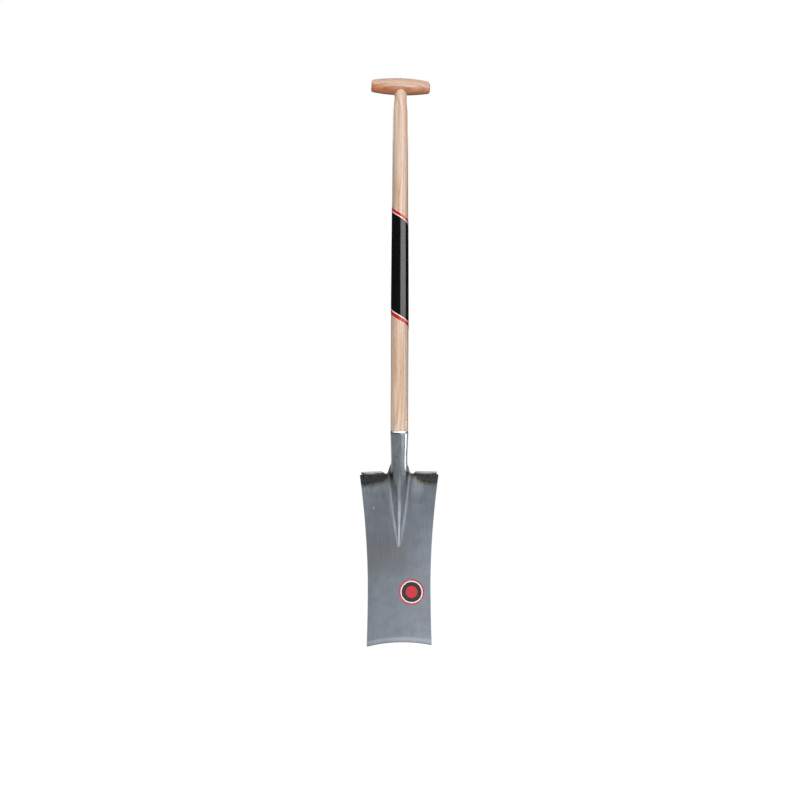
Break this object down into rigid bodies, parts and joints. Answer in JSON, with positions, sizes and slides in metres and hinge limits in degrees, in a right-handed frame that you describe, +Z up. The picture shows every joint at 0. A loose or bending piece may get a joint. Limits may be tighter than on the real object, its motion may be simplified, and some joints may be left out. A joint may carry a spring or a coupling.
{
  "type": "digging spade",
  "caption": "Digging spade with a T-grip: dished narrow steel blade, rolled socket with a long frog, welded foot treads and a turned ash shaft.",
  "frame": {"origin": "on the shaft's axis, level with the corners of the cutting edge", "axes": "+Z up along the shaft to the grip, +X to the right along the crossbar seen from the front, -Y out of the hollow working face of the blade"},
  "size_m": [0.1614, 0.0373, 1.1577],
  "materials": {
    "forged_steel": "clear-lacquered forged steel with a fine lengthwise grind",
    "scaled_steel": "steel blackened by forge and weld scale",
    "weld_steel": "rippled weld bead, oxidised",
    "lacquered_ash": "pale ash, turned and clear-lacquered",
    "dark_ash": "reddish ash, turned and clear-lacquered",
    "beech_wedge": "beech end grain, cut flush",
    "nail_steel": "oxidised nail heads",
    "black_film": "glossy black printed film with plain red and cream stripes",
    "red_paper": "glossy round sticker with plain rings"
  },
  "bodies": {
    "root": {"blade": "forged_steel", "tread_left": "scaled_steel", "tread_right": "scaled_steel", "tread_weld_front_left": "weld_steel", "tread_weld_front_right": "weld_steel", "tread_weld_left": "weld_steel", "tread_weld_right": "weld_steel", "shaft": "lacquered_ash", "grip_crossbar": "dark_ash", "tenon_wedge": "beech_wedge", "socket_nail_upper": "nail_steel", "socket_nail_lower": "nail_steel", "shaft_label": "black_film", "blade_sticker": "red_paper"}
  },
  "joints": []
}
